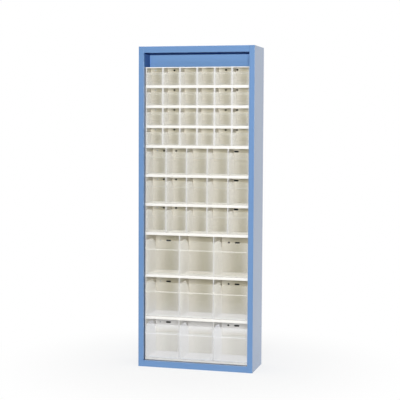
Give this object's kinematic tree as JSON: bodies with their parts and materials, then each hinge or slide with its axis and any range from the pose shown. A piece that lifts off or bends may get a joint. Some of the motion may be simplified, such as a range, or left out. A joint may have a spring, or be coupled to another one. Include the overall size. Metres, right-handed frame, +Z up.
{
  "type": "parts bin cabinet",
  "caption": "Tall open-fronted steel cabinet with rows of clear tilt-out bins in moulded housings, for storing small parts.",
  "frame": {"origin": "middle of the cabinet's base, on the surface that it stands on", "axes": "+Z up, the open front faces -Y, +X to the right seen from the front"},
  "size_m": [0.664, 0.25, 1.81],
  "materials": {
    "casing_paint": "smooth light blue powder coat, semi-gloss",
    "housing_plastic": "moulded ivory-white plastic, satin",
    "clear_plastic": "clear moulded plastic, glossy",
    "screw_zinc": "bright zinc plated"
  },
  "bodies": {
    "cabinet": {"side_panel_left": "casing_paint", "side_panel_right": "casing_paint", "top_panel": "casing_paint", "bottom_panel": "casing_paint", "back_panel": "casing_paint", "header_tray": "casing_paint", "mounting_plates": "casing_paint", "housing_screws": "screw_zinc", "small_housings": "housing_plastic", "medium_housings": "housing_plastic", "large_housings": "housing_plastic"},
    "small_bin_r1_c1": {"small_bin_r1_c1": "clear_plastic"},
    "small_bin_r1_c2": {"small_bin_r1_c2": "clear_plastic"},
    "small_bin_r1_c3": {"small_bin_r1_c3": "clear_plastic"},
    "small_bin_r1_c4": {"small_bin_r1_c4": "clear_plastic"},
    "small_bin_r1_c5": {"small_bin_r1_c5": "clear_plastic"},
    "small_bin_r1_c6": {"small_bin_r1_c6": "clear_plastic"},
    "small_bin_r2_c1": {"small_bin_r2_c1": "clear_plastic"},
    "small_bin_r2_c2": {"small_bin_r2_c2": "clear_plastic"},
    "small_bin_r2_c3": {"small_bin_r2_c3": "clear_plastic"},
    "small_bin_r2_c4": {"small_bin_r2_c4": "clear_plastic"},
    "small_bin_r2_c5": {"small_bin_r2_c5": "clear_plastic"},
    "small_bin_r2_c6": {"small_bin_r2_c6": "clear_plastic"},
    "small_bin_r3_c1": {"small_bin_r3_c1": "clear_plastic"},
    "small_bin_r3_c2": {"small_bin_r3_c2": "clear_plastic"},
    "small_bin_r3_c3": {"small_bin_r3_c3": "clear_plastic"},
    "small_bin_r3_c4": {"small_bin_r3_c4": "clear_plastic"},
    "small_bin_r3_c5": {"small_bin_r3_c5": "clear_plastic"},
    "small_bin_r3_c6": {"small_bin_r3_c6": "clear_plastic"},
    "small_bin_r4_c1": {"small_bin_r4_c1": "clear_plastic"},
    "small_bin_r4_c2": {"small_bin_r4_c2": "clear_plastic"},
    "small_bin_r4_c3": {"small_bin_r4_c3": "clear_plastic"},
    "small_bin_r4_c4": {"small_bin_r4_c4": "clear_plastic"},
    "small_bin_r4_c5": {"small_bin_r4_c5": "clear_plastic"},
    "small_bin_r4_c6": {"small_bin_r4_c6": "clear_plastic"},
    "medium_bin_r1_c1": {"medium_bin_r1_c1": "clear_plastic"},
    "medium_bin_r1_c2": {"medium_bin_r1_c2": "clear_plastic"},
    "medium_bin_r1_c3": {"medium_bin_r1_c3": "clear_plastic"},
    "medium_bin_r1_c4": {"medium_bin_r1_c4": "clear_plastic"},
    "medium_bin_r1_c5": {"medium_bin_r1_c5": "clear_plastic"},
    "medium_bin_r2_c1": {"medium_bin_r2_c1": "clear_plastic"},
    "medium_bin_r2_c2": {"medium_bin_r2_c2": "clear_plastic"},
    "medium_bin_r2_c3": {"medium_bin_r2_c3": "clear_plastic"},
    "medium_bin_r2_c4": {"medium_bin_r2_c4": "clear_plastic"},
    "medium_bin_r2_c5": {"medium_bin_r2_c5": "clear_plastic"},
    "medium_bin_r3_c1": {"medium_bin_r3_c1": "clear_plastic"},
    "medium_bin_r3_c2": {"medium_bin_r3_c2": "clear_plastic"},
    "medium_bin_r3_c3": {"medium_bin_r3_c3": "clear_plastic"},
    "medium_bin_r3_c4": {"medium_bin_r3_c4": "clear_plastic"},
    "medium_bin_r3_c5": {"medium_bin_r3_c5": "clear_plastic"},
    "large_bin_r1_c1": {"large_bin_r1_c1": "clear_plastic"},
    "large_bin_r1_c2": {"large_bin_r1_c2": "clear_plastic"},
    "large_bin_r1_c3": {"large_bin_r1_c3": "clear_plastic"},
    "large_bin_r2_c1": {"large_bin_r2_c1": "clear_plastic"},
    "large_bin_r2_c2": {"large_bin_r2_c2": "clear_plastic"},
    "large_bin_r2_c3": {"large_bin_r2_c3": "clear_plastic"},
    "large_bin_r3_c1": {"large_bin_r3_c1": "clear_plastic"},
    "large_bin_r3_c2": {"large_bin_r3_c2": "clear_plastic"},
    "large_bin_r3_c3": {"large_bin_r3_c3": "clear_plastic"}
  },
  "joints": [
    {"name": "small_bin_r1_c1_tilt", "type": "hinge", "parent": "cabinet", "child": "small_bin_r1_c1", "pos_m": [-0.24896, -0.089, 1.602], "axis": [1, 0, 0], "range_deg": [0, 45]},
    {"name": "small_bin_r1_c2_tilt", "type": "hinge", "parent": "cabinet", "child": "small_bin_r1_c2", "pos_m": [-0.14938, -0.089, 1.602], "axis": [1, 0, 0], "range_deg": [0, 45]},
    {"name": "small_bin_r1_c3_tilt", "type": "hinge", "parent": "cabinet", "child": "small_bin_r1_c3", "pos_m": [-0.04979, -0.089, 1.602], "axis": [1, 0, 0], "range_deg": [0, 45]},
    {"name": "small_bin_r1_c4_tilt", "type": "hinge", "parent": "cabinet", "child": "small_bin_r1_c4", "pos_m": [0.04979, -0.089, 1.602], "axis": [1, 0, 0], "range_deg": [0, 45]},
    {"name": "small_bin_r1_c5_tilt", "type": "hinge", "parent": "cabinet", "child": "small_bin_r1_c5", "pos_m": [0.14938, -0.089, 1.602], "axis": [1, 0, 0], "range_deg": [0, 45]},
    {"name": "small_bin_r1_c6_tilt", "type": "hinge", "parent": "cabinet", "child": "small_bin_r1_c6", "pos_m": [0.24896, -0.089, 1.602], "axis": [1, 0, 0], "range_deg": [0, 45]},
    {"name": "small_bin_r2_c1_tilt", "type": "hinge", "parent": "cabinet", "child": "small_bin_r2_c1", "pos_m": [-0.24896, -0.089, 1.49], "axis": [1, 0, 0], "range_deg": [0, 45]},
    {"name": "small_bin_r2_c2_tilt", "type": "hinge", "parent": "cabinet", "child": "small_bin_r2_c2", "pos_m": [-0.14938, -0.089, 1.49], "axis": [1, 0, 0], "range_deg": [0, 45]},
    {"name": "small_bin_r2_c3_tilt", "type": "hinge", "parent": "cabinet", "child": "small_bin_r2_c3", "pos_m": [-0.04979, -0.089, 1.49], "axis": [1, 0, 0], "range_deg": [0, 45]},
    {"name": "small_bin_r2_c4_tilt", "type": "hinge", "parent": "cabinet", "child": "small_bin_r2_c4", "pos_m": [0.04979, -0.089, 1.49], "axis": [1, 0, 0], "range_deg": [0, 45]},
    {"name": "small_bin_r2_c5_tilt", "type": "hinge", "parent": "cabinet", "child": "small_bin_r2_c5", "pos_m": [0.14938, -0.089, 1.49], "axis": [1, 0, 0], "range_deg": [0, 45]},
    {"name": "small_bin_r2_c6_tilt", "type": "hinge", "parent": "cabinet", "child": "small_bin_r2_c6", "pos_m": [0.24896, -0.089, 1.49], "axis": [1, 0, 0], "range_deg": [0, 45]},
    {"name": "small_bin_r3_c1_tilt", "type": "hinge", "parent": "cabinet", "child": "small_bin_r3_c1", "pos_m": [-0.24896, -0.089, 1.378], "axis": [1, 0, 0], "range_deg": [0, 45]},
    {"name": "small_bin_r3_c2_tilt", "type": "hinge", "parent": "cabinet", "child": "small_bin_r3_c2", "pos_m": [-0.14938, -0.089, 1.378], "axis": [1, 0, 0], "range_deg": [0, 45]},
    {"name": "small_bin_r3_c3_tilt", "type": "hinge", "parent": "cabinet", "child": "small_bin_r3_c3", "pos_m": [-0.04979, -0.089, 1.378], "axis": [1, 0, 0], "range_deg": [0, 45]},
    {"name": "small_bin_r3_c4_tilt", "type": "hinge", "parent": "cabinet", "child": "small_bin_r3_c4", "pos_m": [0.04979, -0.089, 1.378], "axis": [1, 0, 0], "range_deg": [0, 45]},
    {"name": "small_bin_r3_c5_tilt", "type": "hinge", "parent": "cabinet", "child": "small_bin_r3_c5", "pos_m": [0.14938, -0.089, 1.378], "axis": [1, 0, 0], "range_deg": [0, 45]},
    {"name": "small_bin_r3_c6_tilt", "type": "hinge", "parent": "cabinet", "child": "small_bin_r3_c6", "pos_m": [0.24896, -0.089, 1.378], "axis": [1, 0, 0], "range_deg": [0, 45]},
    {"name": "small_bin_r4_c1_tilt", "type": "hinge", "parent": "cabinet", "child": "small_bin_r4_c1", "pos_m": [-0.24896, -0.089, 1.266], "axis": [1, 0, 0], "range_deg": [0, 45]},
    {"name": "small_bin_r4_c2_tilt", "type": "hinge", "parent": "cabinet", "child": "small_bin_r4_c2", "pos_m": [-0.14938, -0.089, 1.266], "axis": [1, 0, 0], "range_deg": [0, 45]},
    {"name": "small_bin_r4_c3_tilt", "type": "hinge", "parent": "cabinet", "child": "small_bin_r4_c3", "pos_m": [-0.04979, -0.089, 1.266], "axis": [1, 0, 0], "range_deg": [0, 45]},
    {"name": "small_bin_r4_c4_tilt", "type": "hinge", "parent": "cabinet", "child": "small_bin_r4_c4", "pos_m": [0.04979, -0.089, 1.266], "axis": [1, 0, 0], "range_deg": [0, 45]},
    {"name": "small_bin_r4_c5_tilt", "type": "hinge", "parent": "cabinet", "child": "small_bin_r4_c5", "pos_m": [0.14938, -0.089, 1.266], "axis": [1, 0, 0], "range_deg": [0, 45]},
    {"name": "small_bin_r4_c6_tilt", "type": "hinge", "parent": "cabinet", "child": "small_bin_r4_c6", "pos_m": [0.24896, -0.089, 1.266], "axis": [1, 0, 0], "range_deg": [0, 45]},
    {"name": "medium_bin_r1_c1_tilt", "type": "hinge", "parent": "cabinet", "child": "medium_bin_r1_c1", "pos_m": [-0.239, -0.089, 1.102], "axis": [1, 0, 0], "range_deg": [0, 45]},
    {"name": "medium_bin_r1_c2_tilt", "type": "hinge", "parent": "cabinet", "child": "medium_bin_r1_c2", "pos_m": [-0.1195, -0.089, 1.102], "axis": [1, 0, 0], "range_deg": [0, 45]},
    {"name": "medium_bin_r1_c3_tilt", "type": "hinge", "parent": "cabinet", "child": "medium_bin_r1_c3", "pos_m": [0, -0.089, 1.102], "axis": [1, 0, 0], "range_deg": [0, 45]},
    {"name": "medium_bin_r1_c4_tilt", "type": "hinge", "parent": "cabinet", "child": "medium_bin_r1_c4", "pos_m": [0.1195, -0.089, 1.102], "axis": [1, 0, 0], "range_deg": [0, 45]},
    {"name": "medium_bin_r1_c5_tilt", "type": "hinge", "parent": "cabinet", "child": "medium_bin_r1_c5", "pos_m": [0.239, -0.089, 1.102], "axis": [1, 0, 0], "range_deg": [0, 45]},
    {"name": "medium_bin_r2_c1_tilt", "type": "hinge", "parent": "cabinet", "child": "medium_bin_r2_c1", "pos_m": [-0.239, -0.089, 0.938], "axis": [1, 0, 0], "range_deg": [0, 45]},
    {"name": "medium_bin_r2_c2_tilt", "type": "hinge", "parent": "cabinet", "child": "medium_bin_r2_c2", "pos_m": [-0.1195, -0.089, 0.938], "axis": [1, 0, 0], "range_deg": [0, 45]},
    {"name": "medium_bin_r2_c3_tilt", "type": "hinge", "parent": "cabinet", "child": "medium_bin_r2_c3", "pos_m": [0, -0.089, 0.938], "axis": [1, 0, 0], "range_deg": [0, 45]},
    {"name": "medium_bin_r2_c4_tilt", "type": "hinge", "parent": "cabinet", "child": "medium_bin_r2_c4", "pos_m": [0.1195, -0.089, 0.938], "axis": [1, 0, 0], "range_deg": [0, 45]},
    {"name": "medium_bin_r2_c5_tilt", "type": "hinge", "parent": "cabinet", "child": "medium_bin_r2_c5", "pos_m": [0.239, -0.089, 0.938], "axis": [1, 0, 0], "range_deg": [0, 45]},
    {"name": "medium_bin_r3_c1_tilt", "type": "hinge", "parent": "cabinet", "child": "medium_bin_r3_c1", "pos_m": [-0.239, -0.089, 0.774], "axis": [1, 0, 0], "range_deg": [0, 45]},
    {"name": "medium_bin_r3_c2_tilt", "type": "hinge", "parent": "cabinet", "child": "medium_bin_r3_c2", "pos_m": [-0.1195, -0.089, 0.774], "axis": [1, 0, 0], "range_deg": [0, 45]},
    {"name": "medium_bin_r3_c3_tilt", "type": "hinge", "parent": "cabinet", "child": "medium_bin_r3_c3", "pos_m": [0, -0.089, 0.774], "axis": [1, 0, 0], "range_deg": [0, 45]},
    {"name": "medium_bin_r3_c4_tilt", "type": "hinge", "parent": "cabinet", "child": "medium_bin_r3_c4", "pos_m": [0.1195, -0.089, 0.774], "axis": [1, 0, 0], "range_deg": [0, 45]},
    {"name": "medium_bin_r3_c5_tilt", "type": "hinge", "parent": "cabinet", "child": "medium_bin_r3_c5", "pos_m": [0.239, -0.089, 0.774], "axis": [1, 0, 0], "range_deg": [0, 45]},
    {"name": "large_bin_r1_c1_tilt", "type": "hinge", "parent": "cabinet", "child": "large_bin_r1_c1", "pos_m": [-0.19917, -0.089, 0.534], "axis": [1, 0, 0], "range_deg": [0, 45]},
    {"name": "large_bin_r1_c2_tilt", "type": "hinge", "parent": "cabinet", "child": "large_bin_r1_c2", "pos_m": [0, -0.089, 0.534], "axis": [1, 0, 0], "range_deg": [0, 45]},
    {"name": "large_bin_r1_c3_tilt", "type": "hinge", "parent": "cabinet", "child": "large_bin_r1_c3", "pos_m": [0.19917, -0.089, 0.534], "axis": [1, 0, 0], "range_deg": [0, 45]},
    {"name": "large_bin_r2_c1_tilt", "type": "hinge", "parent": "cabinet", "child": "large_bin_r2_c1", "pos_m": [-0.19917, -0.089, 0.294], "axis": [1, 0, 0], "range_deg": [0, 45]},
    {"name": "large_bin_r2_c2_tilt", "type": "hinge", "parent": "cabinet", "child": "large_bin_r2_c2", "pos_m": [0, -0.089, 0.294], "axis": [1, 0, 0], "range_deg": [0, 45]},
    {"name": "large_bin_r2_c3_tilt", "type": "hinge", "parent": "cabinet", "child": "large_bin_r2_c3", "pos_m": [0.19917, -0.089, 0.294], "axis": [1, 0, 0], "range_deg": [0, 45]},
    {"name": "large_bin_r3_c1_tilt", "type": "hinge", "parent": "cabinet", "child": "large_bin_r3_c1", "pos_m": [-0.19917, -0.089, 0.054], "axis": [1, 0, 0], "range_deg": [0, 45]},
    {"name": "large_bin_r3_c2_tilt", "type": "hinge", "parent": "cabinet", "child": "large_bin_r3_c2", "pos_m": [0, -0.089, 0.054], "axis": [1, 0, 0], "range_deg": [0, 45]},
    {"name": "large_bin_r3_c3_tilt", "type": "hinge", "parent": "cabinet", "child": "large_bin_r3_c3", "pos_m": [0.19917, -0.089, 0.054], "axis": [1, 0, 0], "range_deg": [0, 45]}
  ]
}
